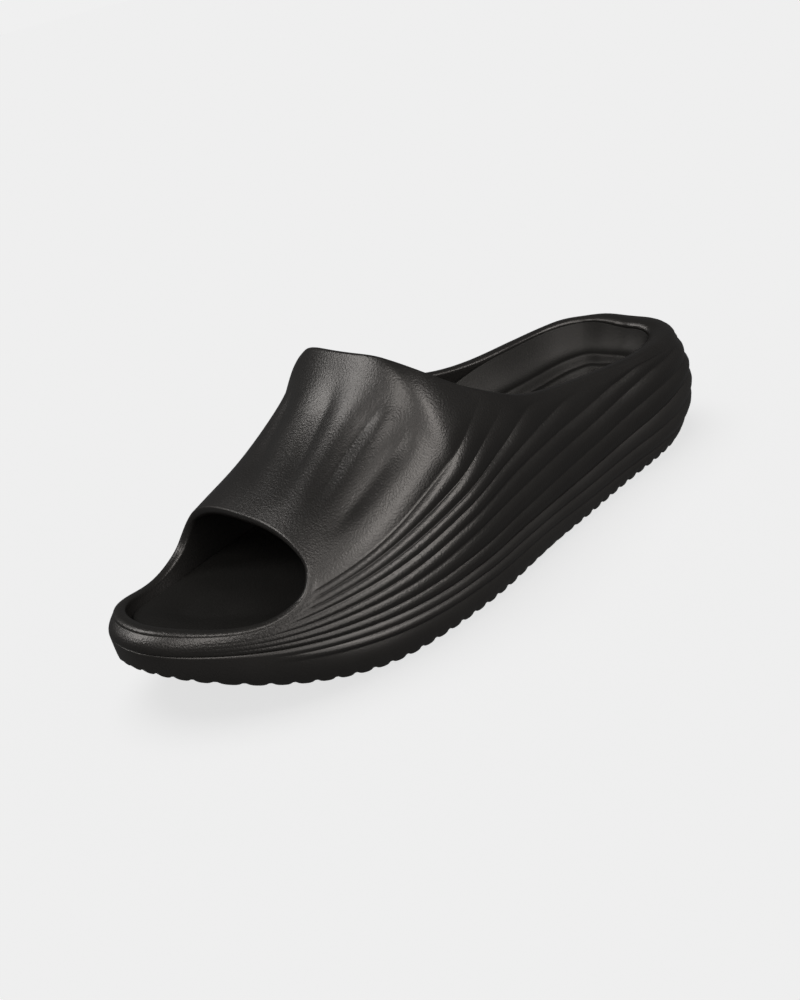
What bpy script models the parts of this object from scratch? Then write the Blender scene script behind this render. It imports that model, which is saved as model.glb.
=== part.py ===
"""Left house slide with an open toe and a low heel cup: upper, sole and footbed.

Metres, +Z up. The toe points to -X, the heel to +X and the outer side of the foot to -Y.
The origin lies on the floor under the middle of the shoe. A station runs from 0 at the
back of the heel to 1 at the tip of the toe.
"""

import math

import bmesh
import bpy
import numpy as np

MM = 0.001

# Overall sizes
LENGTH = 285 * MM
GAP = 0.3 * MM

# Round ends of the outline: share of the length, and power of the curve
HEEL_ROUND = 0.21
HEEL_POWER = 2.1
TOE_ROUND = 0.34
TOE_POWER = 2.25

# Sections along the last, in millimetres: half width, centre line's shift to the inner side, height of the
# line where sole and upper part, ridge of the arched top, lift of the inner side's shoulder, wall at the
# rim, round of the tread's edge, footbed over the parting line, and lip around the footbed
SECTION_COLUMNS = ("station", "half", "shift", "part", "ridge", "lift", "rim", "edge", "bed", "lip")
SECTIONS = (
    (0.00, 43.0, 0.0, 27.0, 58.0, 0.0, 9.0, 8.0, 4.5, 7.0),
    (0.10, 39.5, 2.0, 24.0, 61.5, 0.0, 9.0, 6.5, 6.0, 7.0),
    (0.20, 38.5, 3.0, 21.0, 68.0, 0.0, 8.0, 4.5, 7.5, 6.5),
    (0.35, 43.5, 4.5, 18.5, 80.0, 0.0, 6.0, 3.2, 9.5, 5.0),
    (0.50, 53.0, 7.5, 18.5, 94.0, 2.0, 4.5, 3.2, 9.0, 3.5),
    (0.58, 57.5, 8.5, 18.0, 96.0, 2.5, 4.5, 3.5, 7.5, 2.5),
    (0.66, 58.5, 8.4, 18.0, 76.5, 0.0, 4.5, 4.0, 6.0, 2.0),
    (0.77, 56.5, 8.3, 20.0, 60.0, 2.0, 4.5, 4.0, 4.5, 1.5),
    (0.88, 52.5, 10.0, 24.0, 46.5, 5.0, 4.5, 3.5, 3.0, 1.0),
    (1.00, 49.0, 19.0, 30.0, 41.5, 0.0, 5.0, 0.0, 2.0, 0.5),
)

# The arched top: power of its section, and where its lean turns to follow the round ends
ARCH_POWER = 2.6
HEEL_TURN = (0.34, 0.12)
TOE_TURN = (0.81, 0.94)

# Edges of the two openings on the outer face, from the back of the heel up to the ridge over the instep,
# and from the ridge down to the tip of the toe: heights on the two sides of the foot
OUTER = -1
INNER = 1
RIM_COLUMNS = ("station", "outer side", "inner side")
COLLAR_RIM = (
    (0.000, 44.0, 44.0),
    (0.080, 46.5, 52.0),
    (0.180, 48.5, 54.5),
    (0.280, 49.0, 53.5),
    (0.370, 54.0, 56.3),
    (0.450, 65.0, 66.5),
    (0.530, 77.5, 80.0),
    (0.590, "ridge", "ridge"),
)
TOE_RIM = (
    (0.799, "ridge", "ridge"),
    (0.803, 50.0, 51.0),
    (0.816, 42.0, 41.0),
    (0.845, 35.5, 33.0),
    (0.910, 32.0, 30.3),
    (1.000, 35.0, 35.0),
)

# Wall of the upper
WALL_FOOT = 9 * MM
WALL_LEVEL = (math.radians(35), math.radians(65))
RIM_BULGE = 0.6

# Rib valleys above the parting line, lowest first: heights in millimetres at these stations, and the
# stations between which each valley deepens towards the toe
RIB_STATIONS = (0.00, 0.15, 0.30, 0.40, 0.50, 0.60, 0.70, 0.80, 0.90, 1.00)
RIB_VALLEYS = (
    (33.0, 31.5, 27.5, 26.0, 24.8, 23.2, 22.5, 23.6, 26.5, 31.0),
    (41.5, 40.2, 35.8, 34.3, 32.7, 30.2, 27.5, 27.1, 28.2, 32.0),
    (47.0, 46.0, 42.7, 41.5, 39.7, 35.5, 31.3, 29.6, 29.8, 33.0),
    (56.0, 54.5, 52.0, 48.8, 45.2, 40.0, 35.3, 32.7, 31.3, 34.0),
    (66.0, 64.0, 62.0, 58.6, 51.2, 44.3, 38.8, 35.0, 32.8, 35.0),
    (76.0, 74.0, 72.0, 68.5, 60.0, 49.8, 42.6, 37.5, 34.3, 36.0),
    (86.0, 84.0, 82.0, 79.0, 69.5, 57.0, 46.3, 39.8, 35.8, 37.0),
)
RIB_STARTS = (
    (-0.20, -0.10),
    (-0.20, -0.10),
    (-0.10, 0.12),
    (0.335, 0.39),
    (0.405, 0.46),
    (0.49, 0.545),
    (0.515, 0.58),
)
RIB_DEPTH = 1.1 * MM
RIB_PITCH_SHARE = 0.18
RIB_FADE = (0.90, 0.70)
RIB_RIM_FADE = (0.5 * MM, 4 * MM)
RIB_LEAST = 1.2 * MM

# Underside: heel lift, flat heel, arch, flat forefoot, toe spring
HEEL_LIFT = 12 * MM
TOE_SPRING = 22 * MM
ARCH_LIFT = 1.0 * MM
HEEL_FLAT = (0.13, 0.34)
FOREFOOT_FLAT = (0.56, 0.715)
TOE_SPRING_POWER = 2.0

# Side bands of the sole, with the two valleys' share of the height at the heel and their rise to the toe,
# and its tread bars
BAND_DEPTH = 1.2 * MM
UPPER_BAND = (0.60, 0.27)
LOWER_BAND = (0.18, 0.58)
EDGE_POWER = 3
BAR_PITCH = 6.6 * MM
BAR_FLAT = 0.62
BAR_DEPTH = 1.3 * MM
BAR_RANGE = (0.045, 0.955)
BAR_ARCH_LOSS = 0.75

# Hollow of the footbed between its lips: power of its section
DISH_POWER = 3

# Facets: stations on the parting line from which the lines to the two ends of the ridge start, and counts
VAMP_FOOT = (0.61, 0.72)
COLLAR_STEPS = 26
VAMP_STEPS = 8
TOE_STEPS = 20
CREST_STEPS = 8
INNER_STEPS = 8
ROUND_STEPS = 4
PATH_SAMPLES = 160
RIM_SAMPLES = 600
RIM_CLEAR = 0.8 * MM
SOLE_END_STEPS = 6
SOLE_ACROSS = 4
BED_STEPS = 40
BED_ACROSS = 8
MERGE = 0.002 * MM
SLOPE_STEP = 1e-4
ANGLE_STEPS = 16

FOAM_COLOUR = (0.028, 0.028, 0.031, 1.0)
SOLE_COLOUR = (0.024, 0.024, 0.027, 1.0)
BED_COLOUR = (0.018, 0.018, 0.020, 1.0)
FOAM_ROUGHNESS = 0.55


def through(places, values, level_row=None):
    """Smooth function through the rows of a table, with slopes from the neighbouring rows.

    The row numbered level_row, if any, has no slope.
    """
    x = np.array(places, float)
    y = np.array(values, float)
    step = np.diff(y) / np.diff(x)
    slope = np.concatenate([step[:1], (step[1:] + step[:-1]) / 2, step[-1:]])
    if level_row is not None:
        slope[level_row] = 0

    def value(at):
        at = np.clip(at, x[0], x[-1])
        i = np.clip(np.searchsorted(x, at, side="right") - 1, 0, len(x) - 2)
        width = x[i + 1] - x[i]
        u = (at - x[i]) / width
        level = y[i] * (1 + 2 * u) * (1 - u) ** 2 + y[i + 1] * u * u * (3 - 2 * u)
        return level + width * u * (1 - u) * (slope[i] * (1 - u) - slope[i + 1] * u)

    return value


def section_curve(name):
    """One column of the section table as a smooth function of the station, in metres."""
    column = SECTION_COLUMNS.index(name)
    return through([row[0] for row in SECTIONS], [row[column] * MM for row in SECTIONS])


half_width = section_curve("half")
shift = section_curve("shift")
part_height = section_curve("part")
ridge_height = section_curve("ridge")
inner_lift = section_curve("lift")
rim_wall = section_curve("rim")
edge_round = section_curve("edge")
bed_height = section_curve("bed")
bed_lip = section_curve("lip")


def ramp(value, start, end):
    """Soft step from 0 at start to 1 at end."""
    u = np.clip((value - start) / (end - start), 0, 1)
    return u * u * (3 - 2 * u)


def unit(vectors):
    return vectors / np.linalg.norm(vectors, axis=-1, keepdims=True)


def station(turn):
    """Station of a place around the outline, where 0 to 1 runs from heel to toe and slows at the ends."""
    return (1 - np.cos(math.pi * turn)) / 2


def place(at_station):
    return np.arccos(1 - 2 * np.clip(at_station, 0, 1)) / math.pi


def end_cap(t):
    """Share of the half width that the round ends leave."""
    heel = np.clip(1 - t / HEEL_ROUND, 0, 1) ** HEEL_POWER
    toe = np.clip(1 - (1 - t) / TOE_ROUND, 0, 1) ** TOE_POWER
    return (1 - heel) ** (1 / HEEL_POWER) * (1 - toe) ** (1 / TOE_POWER)


def width_middle():
    """Middle of the outline across, which the origin lies under."""
    t = station(np.linspace(0, 1, 801))
    reach = half_width(t) * end_cap(t)
    return ((shift(t) + reach).max() + (shift(t) - reach).min()) / 2


MIDDLE = width_middle()


def outline(q, side):
    """Plan outline at a place q; side is -1 on the outer and 1 on the inner side of the foot."""
    t = station(q)
    across = shift(t) - MIDDLE + side * half_width(t) * end_cap(t)
    return np.stack([LENGTH * (0.5 - t), across], axis=-1)


def at_tips(q):
    """True at the back of the heel and at the tip of the toe, where the outline runs straight across."""
    return (q <= 0) | (q >= 1)


def plan_normal(q, side):
    """Outward direction of the outline."""
    along = outline(np.clip(q + SLOPE_STEP, 0, 1), side) - outline(np.clip(q - SLOPE_STEP, 0, 1), side)
    along[..., 0] = np.where(at_tips(q), 0, along[..., 0])
    return unit(side * np.stack([along[..., 1], -along[..., 0]], axis=-1))


def lean(q, side):
    """Direction and depth in which the arched top leans inwards from the outline."""
    t = station(q)
    turn = np.maximum(ramp(t, *HEEL_TURN), ramp(t, *TOE_TURN))
    direction = plan_normal(q, side)
    direction = unit(np.stack([direction[..., 0] * turn, direction[..., 1]], axis=-1))
    cap = end_cap(t)
    return direction, half_width(t) * (cap + (1 - cap) * turn)


def dome_height(t, side, angle):
    """Height of the arch, which is a little higher over the inner side's shoulder."""
    lift = inner_lift(t) * (side == INNER)
    return part_height(t) + (ridge_height(t) - part_height(t)) * np.sin(angle) + lift * np.sin(2 * angle)


def dome_slope(t, side, angle):
    lift = inner_lift(t) * (side == INNER)
    return (ridge_height(t) - part_height(t)) * np.cos(angle) + 2 * lift * np.cos(2 * angle)


def dome(q, side, angle):
    """Outer surface of the last: angle 0 on the parting line, a quarter turn on the ridge."""
    t = station(q)
    direction, reach = lean(q, side)
    inset = reach * (1 - np.abs(np.cos(angle)) ** (2 / ARCH_POWER))
    height = dome_height(t, side, angle)
    plan = outline(q, side) - direction * inset[..., None]
    return np.concatenate([plan, height[..., None]], axis=-1)


def dome_normal(q, side, angle):
    """Outward direction of the smooth outer surface."""
    t = station(q)
    ahead = dome(np.clip(q + SLOPE_STEP, 0, 1), side, angle)
    along = ahead - dome(np.clip(q - SLOPE_STEP, 0, 1), side, angle)
    along[..., ::2] = np.where(at_tips(q)[..., None], 0, along[..., ::2])
    direction, reach = lean(q, side)
    inward = reach * (2 / ARCH_POWER) * np.sin(angle)
    rise = dome_slope(t, side, angle) * np.abs(np.cos(angle)) ** (1 - 2 / ARCH_POWER)
    upward = np.concatenate([-direction * inward[..., None], rise[..., None]], axis=-1)
    return unit(side * np.cross(along, upward))


def wall_inside(q, side, angle, thickness):
    """Inner face of the upper: level inwards from its side walls, square to the surface under the vamp."""
    inward = dome_normal(q, side, angle)
    inward[..., 2] *= ramp(angle, *WALL_LEVEL)
    return dome(q, side, angle) - unit(inward) * np.asarray(thickness)[..., None]


def dome_angle(t, side, height):
    """Angle at which the arch reaches a height, found by climbing along its slope."""
    angle = np.zeros_like(t)
    for _ in range(ANGLE_STEPS):
        angle = angle + (height - dome_height(t, side, angle)) / dome_slope(t, side, angle)
    return angle


def equal_steps(points, steps):
    """Sample numbers that split a sampled curve into steps of equal length."""
    lengths = np.linalg.norm(np.diff(points, axis=0), axis=1)
    run = np.concatenate([[0], np.cumsum(lengths)])
    return np.interp(np.linspace(0, run[-1], steps + 1), run, np.arange(len(points)))


def rim_points(rows, side, steps):
    """Places and angles that split an opening's edge into equal steps; it crosses the ridge squarely."""
    column = RIM_COLUMNS.index("outer side" if side == OUTER else "inner side")
    stations = [row[0] for row in rows]
    heights = [row[column] for row in rows]
    angles = []
    for t, height in zip(stations, heights):
        if height == "ridge":
            angles.append(math.pi / 2)
        else:
            angles.append(float(dome_angle(np.float64(t), side, height * MM)))
    number = np.arange(len(rows))
    at = np.linspace(0, len(rows) - 1, RIM_SAMPLES)
    q = place(through(number, stations, heights.index("ridge"))(at))
    angle = through(number, angles)(at)
    samples = equal_steps(dome(q, side, angle), steps)
    number = np.arange(RIM_SAMPLES)
    return np.interp(samples, number, q), np.interp(samples, number, angle)


def outline_places(first, last, steps):
    """Places that split the outline between two stations into equal steps."""
    q = np.linspace(place(first), place(last), RIM_SAMPLES)
    return np.interp(equal_steps(outline(q, OUTER), steps), np.arange(len(q)), q)


def toe_feet(toe_q, steps):
    """Places on the parting line under the toe's rim, halfway between equal steps and the rim's steps."""
    share = (station(toe_q) - TOE_RIM[0][0]) / (1 - TOE_RIM[0][0])
    under_rim = place(VAMP_FOOT[1] + (1 - VAMP_FOOT[1]) * share)
    return (outline_places(VAMP_FOOT[1], 1.0, steps) + under_rim) / 2


class Columns:
    """Lines on the dome from the parting line up to a rim or, on the vamp, up to the ridge."""

    def __init__(self, side):
        collar_front = COLLAR_RIM[-1][0]
        toe_back = TOE_RIM[0][0]
        collar_q, collar_angle = rim_points(COLLAR_RIM, side, COLLAR_STEPS)
        toe_q, toe_angle = rim_points(TOE_RIM, side, TOE_STEPS)
        vamp_q = place(np.linspace(collar_front, toe_back, VAMP_STEPS + 1))
        feet = (
            outline_places(0.0, VAMP_FOOT[0], COLLAR_STEPS),
            outline_places(*VAMP_FOOT, VAMP_STEPS)[1:],
            toe_feet(toe_q, TOE_STEPS)[1:],
        )
        self.side = side
        self.foot = np.concatenate(feet)
        self.top = np.concatenate([collar_q, vamp_q[1:], toe_q[1:]])
        self.angle = np.concatenate([collar_angle, np.full(VAMP_STEPS, math.pi / 2), toe_angle[1:]])
        self.count = len(self.foot)

    def at(self, number, share):
        """Place and angle at a share of the way up one column."""
        q = self.foot[number] + (self.top[number] - self.foot[number]) * share
        return q, self.angle[number] * share


def rib_rows(columns, number):
    """Shares up one column for each row of the ribbed outer face, and how deep each row lies."""
    share = np.linspace(0, 1, PATH_SAMPLES)
    q, angle = columns.at(number, share)
    points = dome(q, columns.side, angle)
    run = np.concatenate([[0], np.cumsum(np.linalg.norm(np.diff(points, axis=0), axis=1))])
    t = station(q)
    valleys = [0.0]
    for heights in RIB_VALLEYS:
        over = points[:, 2] - through(RIB_STATIONS, heights)(t) * MM
        crossed = np.interp(0, over, run) if over[-1] > 0 else run[-1]
        valleys.append(max(crossed, valleys[-1] + RIB_LEAST))
    rows = []
    for lower, upper in zip(valleys, valleys[1:]):
        rows += [lower, (lower + upper) / 2]
    top = max(run[-1], valleys[-1])
    rows += list(np.linspace(valleys[-1], top, CREST_STEPS + 1))
    rows = np.array(rows)
    left = run[-1] - rows
    shares = np.where(left < RIM_CLEAR, 1.0, np.interp(rows, run, share))
    t = station(columns.at(number, shares)[0])
    depth = np.zeros_like(rows)
    depth[0] = RIB_DEPTH
    for valley, start in enumerate(RIB_STARTS):
        row = 2 * (valley + 1)
        fade = ramp(t[row], *start) * ramp(t[row], *RIB_FADE) * ramp(left[row], *RIB_RIM_FADE)
        depth[row] = min(RIB_DEPTH, RIB_PITCH_SHARE * (rows[row] - rows[row - 2])) * fade
    return shares, depth


def fill_rows(faces, lower, upper):
    """Faces between two rows of vertex numbers, leaving out what has closed up."""
    for a, b, c, d in zip(lower, lower[1:], upper[1:], upper):
        face = list(dict.fromkeys((a, b, c, d)))
        if len(face) > 2:
            faces.append(face)


def make_object(name, points, faces, colour):
    """A closed smooth-shaded object from points and faces, with its own material."""
    bm = bmesh.new()
    corners = [bm.verts.new(point) for point in points]
    for face in faces:
        bm.faces.new([corners[i] for i in face])
    bmesh.ops.remove_doubles(bm, verts=bm.verts, dist=MERGE)
    bmesh.ops.dissolve_degenerate(bm, edges=bm.edges, dist=MERGE)
    bmesh.ops.recalc_face_normals(bm, faces=bm.faces)
    mesh = bpy.data.meshes.new(name)
    bm.to_mesh(mesh)
    bm.free()
    mesh.shade_smooth()
    material = bpy.data.materials.new(name + "_foam")
    material.use_nodes = True
    shader = material.node_tree.nodes["Principled BSDF"]
    shader.inputs["Base Color"].default_value = colour
    shader.inputs["Roughness"].default_value = FOAM_ROUGHNESS
    mesh.materials.append(material)
    thing = bpy.data.objects.new(name, mesh)
    bpy.context.scene.collection.objects.link(thing)
    return thing


class Grid:
    """Points and faces of one piece as they are collected."""

    def __init__(self):
        self.points = []
        self.faces = []

    def add(self, points):
        first = len(self.points)
        self.points += [tuple(point) for point in points]
        return list(range(first, len(self.points)))

    def fill(self, lower, upper):
        fill_rows(self.faces, lower, upper)


def upper_side(grid, columns):
    """Outer ribbed face and smooth inner face on one side; gives the numbers of their columns."""
    side = columns.side
    outer = []
    inner = []
    for number in range(columns.count):
        rows, depth = rib_rows(columns, number)
        q, angle = columns.at(number, rows)
        ends = np.argmax(rows >= 1.0)
        points = dome(q, side, angle) - dome_normal(q, side, angle) * depth[:, None]
        numbers = grid.add(points[:ends + 1])
        outer.append(numbers + [numbers[-1]] * (len(rows) - ends - 1))
        share = np.linspace(0, 1, INNER_STEPS + 1)
        q, angle = columns.at(number, share)
        wall = WALL_FOOT + (rim_wall(station(columns.top[number])) - WALL_FOOT) * share
        inner.append(grid.add(wall_inside(q, side, angle, wall)))
    for left, right in zip(outer, outer[1:]):
        grid.fill(left, right)
    for left, right in zip(inner, inner[1:]):
        grid.fill(left, right)
    grid.fill([column[0] for column in outer], [column[0] for column in inner])
    return outer, inner


def round_rim(grid, outer_loop, inner_loop):
    """Rounded edge from the outer to the inner face around an opening."""
    outer = np.array([grid.points[i] for i in outer_loop])
    inner = np.array([grid.points[i] for i in inner_loop])
    middle = (outer + inner) / 2
    along = np.roll(middle, -1, axis=0) - np.roll(middle, 1, axis=0)
    outward = (outer - inner) / 2
    bulge = unit(np.cross(outward, along)) * np.linalg.norm(outward, axis=1)[:, None] * RIM_BULGE
    centre = middle.mean(axis=0)
    if np.sum(bulge * (centre - middle)) < 0:
        bulge = -bulge
    rows = [outer_loop]
    for step in range(1, ROUND_STEPS):
        turn = math.pi * step / ROUND_STEPS
        rows.append(grid.add(middle + outward * math.cos(turn) + bulge * math.sin(turn)))
    rows.append(inner_loop)
    for row, following in zip(rows, rows[1:]):
        grid.fill(row + row[:1], following + following[:1])


def rim_loop(lateral, medial, first, last):
    """Top vertex numbers once around an opening, from column first to column last and back."""
    there = [column[-1] for column in lateral[first:last + 1]]
    back = [column[-1] for column in medial[first + 1:last]]
    return there + back[::-1]


def build_upper():
    grid = Grid()
    lateral_outer, lateral_inner = upper_side(grid, Columns(OUTER))
    medial_outer, medial_inner = upper_side(grid, Columns(INNER))
    collar = (0, COLLAR_STEPS)
    toe = (COLLAR_STEPS + VAMP_STEPS, len(lateral_outer) - 1)
    for first, last in (collar, toe):
        outer_loop = rim_loop(lateral_outer, medial_outer, first, last)
        inner_loop = rim_loop(lateral_inner, medial_inner, first, last)
        round_rim(grid, outer_loop, inner_loop)
    return make_object("upper", grid.points, grid.faces, FOAM_COLOUR)


def underside(t):
    """Height of the tread's lowest faces: flat at heel and forefoot, lifted at heel end, arch and toe."""
    heel = np.clip((HEEL_FLAT[0] - t) / HEEL_FLAT[0], 0, 1) ** 2
    arch = np.clip((t - HEEL_FLAT[1]) / (FOREFOOT_FLAT[0] - HEEL_FLAT[1]), 0, 1)
    toe = np.clip((t - FOREFOOT_FLAT[1]) / (1 - FOREFOOT_FLAT[1]), 0, 1) ** TOE_SPRING_POWER
    return HEEL_LIFT * heel + ARCH_LIFT * np.sin(math.pi * arch) ** 2 + TOE_SPRING * toe


def tread_stations():
    """Stations of the sole's columns, and 1 where a groove between two tread bars is deepest."""
    ends = np.linspace(0, place(BAR_RANGE[0]), SOLE_END_STEPS)[:-1]
    stations = list(station(ends))
    groove = [0.0] * len(stations)
    bars = round((BAR_RANGE[1] - BAR_RANGE[0]) * LENGTH / BAR_PITCH)
    pitch = (BAR_RANGE[1] - BAR_RANGE[0]) / bars
    for number in range(bars):
        start = BAR_RANGE[0] + number * pitch
        stations += [start, start + BAR_FLAT * pitch, start + (1 + BAR_FLAT) / 2 * pitch]
        groove += [0.0, 0.0, 1.0]
    stations.append(BAR_RANGE[1])
    groove.append(0.0)
    stations += list(1 - station(ends)[::-1])
    groove += [0.0] * len(ends)
    return np.array(stations), np.array(groove)


def sole_side(t, q, side, groove):
    """Rows of the sole's side from the parting line down over its bands to the tread's edge."""
    floor = underside(t)
    top = part_height(t) - GAP
    fade = ramp(t, *RIB_FADE)
    upper_valley = UPPER_BAND[0] + UPPER_BAND[1] * t
    lower_valley = LOWER_BAND[0] + LOWER_BAND[1] * t
    valley = BAND_DEPTH * fade
    bands = (
        (np.ones_like(t), BAND_DEPTH),
        ((1 + upper_valley) / 2, 0),
        (upper_valley, valley),
        ((upper_valley + lower_valley) / 2, 0),
        (lower_valley, valley),
        (lower_valley / 2, 0),
    )
    normal = plan_normal(q, side)
    edge = outline(q, side)
    rows = []
    for share, depth in bands:
        inset = edge_round(t) * (1 - share) ** EDGE_POWER + depth
        plan = edge - normal * inset[:, None]
        rows.append(np.concatenate([plan, (floor + (top - floor) * share)[:, None]], axis=1))
    arch_share = underside(t) / ARCH_LIFT * ((t > HEEL_FLAT[1]) & (t < FOREFOOT_FLAT[0]))
    deep = groove * BAR_DEPTH * (1 - BAR_ARCH_LOSS * arch_share)
    plan = edge - normal * edge_round(t)[:, None]
    rows.append(np.concatenate([plan, (floor + deep)[:, None]], axis=1))
    return rows


def build_sole():
    t, groove = tread_stations()
    q = place(t)
    grid = Grid()
    lateral = sole_side(t, q, OUTER, groove)
    medial = sole_side(t, q, INNER, groove)
    edges = []
    for rows in (lateral, medial):
        numbers = [grid.add(row) for row in rows]
        for row, following in zip(numbers, numbers[1:]):
            grid.fill(row, following)
        edges.append(numbers)
    for row, across in ((0, 2), (-1, SOLE_ACROSS)):
        lines = [edges[0][row]]
        for share in np.linspace(0, 1, across + 1)[1:-1]:
            lines.append(grid.add(lateral[row] + (medial[row] - lateral[row]) * share))
        lines.append(edges[1][row])
        for line, following in zip(lines, lines[1:]):
            grid.fill(line, following)
    return make_object("sole", grid.points, grid.faces, SOLE_COLOUR)


def bed_edge(q, side, height):
    """Points a gap inside the upper's inner wall at a height over the parting line."""
    t = station(q)
    angle = dome_angle(t, side, part_height(t) + height)
    return wall_inside(q, side, angle, np.full_like(q, WALL_FOOT + GAP))


def build_footbed():
    q = np.linspace(0, 1, BED_STEPS + 1)
    t = station(q)
    grid = Grid()
    lower = [bed_edge(q, side, np.zeros_like(t)) for side in (OUTER, INNER)]
    upper = [bed_edge(q, side, bed_height(t) + bed_lip(t)) for side in (OUTER, INNER)]
    low_numbers = [grid.add(points) for points in lower]
    high_numbers = [grid.add(points) for points in upper]
    for low, high in zip(low_numbers, high_numbers):
        grid.fill(low, high)
    lines = [high_numbers[0]]
    floors = [low_numbers[0]]
    for share in np.linspace(0, 1, BED_ACROSS + 1)[1:-1]:
        line = upper[0] + (upper[1] - upper[0]) * share
        line[:, 2] -= bed_lip(t) * end_cap(t) * (1 - abs(2 * share - 1) ** DISH_POWER)
        lines.append(grid.add(line))
    floors.append(grid.add((lower[0] + lower[1]) / 2))
    lines.append(high_numbers[1])
    floors.append(low_numbers[1])
    for sheet in (lines, floors):
        for line, following in zip(sheet, sheet[1:]):
            grid.fill(line, following)
    return make_object("footbed", grid.points, grid.faces, BED_COLOUR)


for old in list(bpy.data.objects):
    bpy.data.objects.remove(old)
build_sole()
build_upper()
build_footbed()
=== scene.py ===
# %% [markdown]
# # A moulded foam slide
# This lesson dresses a house slide for the left foot. Its solids come packed as a frame: an upper, a
# sole and a footbed. The frame is loaded first, because every piece below is laid where its solid lies.

# %% Load the frame
import math

import bpy
import numpy as np
from mathutils import Matrix, Vector


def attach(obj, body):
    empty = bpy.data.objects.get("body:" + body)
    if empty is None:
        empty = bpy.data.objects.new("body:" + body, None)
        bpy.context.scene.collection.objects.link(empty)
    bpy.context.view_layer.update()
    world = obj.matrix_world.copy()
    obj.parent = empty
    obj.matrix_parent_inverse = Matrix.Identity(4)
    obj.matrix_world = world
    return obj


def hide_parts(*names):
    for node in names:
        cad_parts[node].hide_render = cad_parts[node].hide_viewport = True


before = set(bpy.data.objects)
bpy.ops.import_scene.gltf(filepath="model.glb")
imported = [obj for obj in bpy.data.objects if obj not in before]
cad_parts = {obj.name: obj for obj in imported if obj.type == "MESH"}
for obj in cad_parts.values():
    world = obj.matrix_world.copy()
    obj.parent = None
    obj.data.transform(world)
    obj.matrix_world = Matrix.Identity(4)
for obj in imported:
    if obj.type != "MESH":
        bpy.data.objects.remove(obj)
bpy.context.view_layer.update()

bpy.ops.object.select_all(action="DESELECT")
print("solids:", sorted(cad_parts))

# %% [markdown]
# ## The last
# A shoe is shaped over a last, so the lesson starts with one. A few rows give its width, the line where
# sole and upper part, and the ridge of its arched top. A smooth curve runs through each column of the
# table. Drawing the last point by point would also work, but then no width could be changed without
# redrawing it. Lift raises the shoulder on the inner side of the foot, rim is the wall's thickness at
# an opening, edge is how far the sole rounds in at the floor, and bed and lip are the heights of the
# footbed and of its edge.

# %% Sections of the last
MM = 0.001
LENGTH = 285 * MM
SECTION_COLUMNS = ("station", "half", "shift", "part", "ridge", "lift", "rim", "edge", "bed", "lip")
SECTIONS = (
    (0.00, 43.0, 0.0, 27.0, 58.0, 0.0, 13.0, 8.0, 4.5, 7.0),
    (0.10, 39.5, 2.0, 24.0, 61.5, 7.0, 9.5, 6.5, 6.0, 7.0),
    (0.20, 38.5, 3.0, 21.0, 68.0, 6.0, 6.5, 4.5, 7.5, 6.5),
    (0.35, 43.5, 4.5, 18.5, 80.0, 1.5, 5.0, 3.2, 9.5, 5.0),
    (0.50, 53.0, 7.5, 18.5, 94.0, 2.0, 4.5, 3.2, 9.0, 3.5),
    (0.58, 57.5, 8.5, 18.0, 96.6, 2.5, 4.5, 3.5, 7.5, 2.5),
    (0.61, 58.2, 8.5, 18.0, 88.3, -0.5, 4.5, 3.7, 6.9, 2.3),
    (0.66, 58.5, 8.4, 18.0, 76.5, 0.8, 4.5, 4.0, 6.0, 2.0),
    (0.77, 56.5, 8.3, 20.0, 60.0, 2.0, 4.5, 4.0, 4.5, 1.5),
    (0.88, 52.5, 10.0, 24.0, 46.5, 5.0, 4.5, 3.5, 3.0, 1.0),
    (1.00, 49.0, 19.0, 30.0, 41.5, 0.0, 5.0, 0.0, 2.0, 0.5),
)


def through(places, values, level_row=None):
    """Smooth function through the rows of a table; the row numbered level_row, if any, has no slope."""
    x = np.array(places, float)
    y = np.array(values, float)
    step = np.diff(y) / np.diff(x)
    slope = np.concatenate([step[:1], (step[1:] + step[:-1]) / 2, step[-1:]])
    if level_row is not None:
        slope[level_row] = 0

    def value(at):
        at = np.clip(at, x[0], x[-1])
        i = np.clip(np.searchsorted(x, at, side="right") - 1, 0, len(x) - 2)
        width = x[i + 1] - x[i]
        u = (at - x[i]) / width
        level = y[i] * (1 + 2 * u) * (1 - u) ** 2 + y[i + 1] * u * u * (3 - 2 * u)
        return level + width * u * (1 - u) * (slope[i] * (1 - u) - slope[i + 1] * u)

    return value


def section_curve(name):
    """One column of the table as a function of the station, from 0 at the heel to 1 at the toe."""
    column = SECTION_COLUMNS.index(name)
    return through([row[0] for row in SECTIONS], [row[column] * MM for row in SECTIONS])


half_width = section_curve("half")
shift = section_curve("shift")
part_height = section_curve("part")
ridge_height = section_curve("ridge")
inner_lift = section_curve("lift")
rim_wall = section_curve("rim")
edge_round = section_curve("edge")
bed_height = section_curve("bed")
bed_lip = section_curve("lip")
print("widest half section: %.1f mm" % (max(row[1] for row in SECTIONS)))

# %% [markdown]
# ## The outline
# Seen from above, the shoe is a long shape with two round ends. Each end is a superellipse, which is
# rounder or squarer by one power. Stations crowd together at the ends, so that the tight curves get
# more points.

# %% Plan outline
HEEL_ROUND = 0.21
HEEL_POWER = 2.1
TOE_ROUND = 0.34
TOE_POWER = 2.25
SLOPE_STEP = 1e-4
WIDTH_SAMPLES = 801


def ramp(value, start, end):
    """Soft step from 0 at start to 1 at end."""
    u = np.clip((value - start) / (end - start), 0, 1)
    return u * u * (3 - 2 * u)


def unit(vectors):
    """The same directions at length 1."""
    return vectors / np.linalg.norm(vectors, axis=-1, keepdims=True)


def station(turn):
    """Station at a place on the way round the outline, from 0 at the heel to 1 at the toe."""
    return (1 - np.cos(math.pi * turn)) / 2


def place(at_station):
    """Where a station lies on the way round the outline, which slows at the ends."""
    return np.arccos(1 - 2 * np.clip(at_station, 0, 1)) / math.pi


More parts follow.
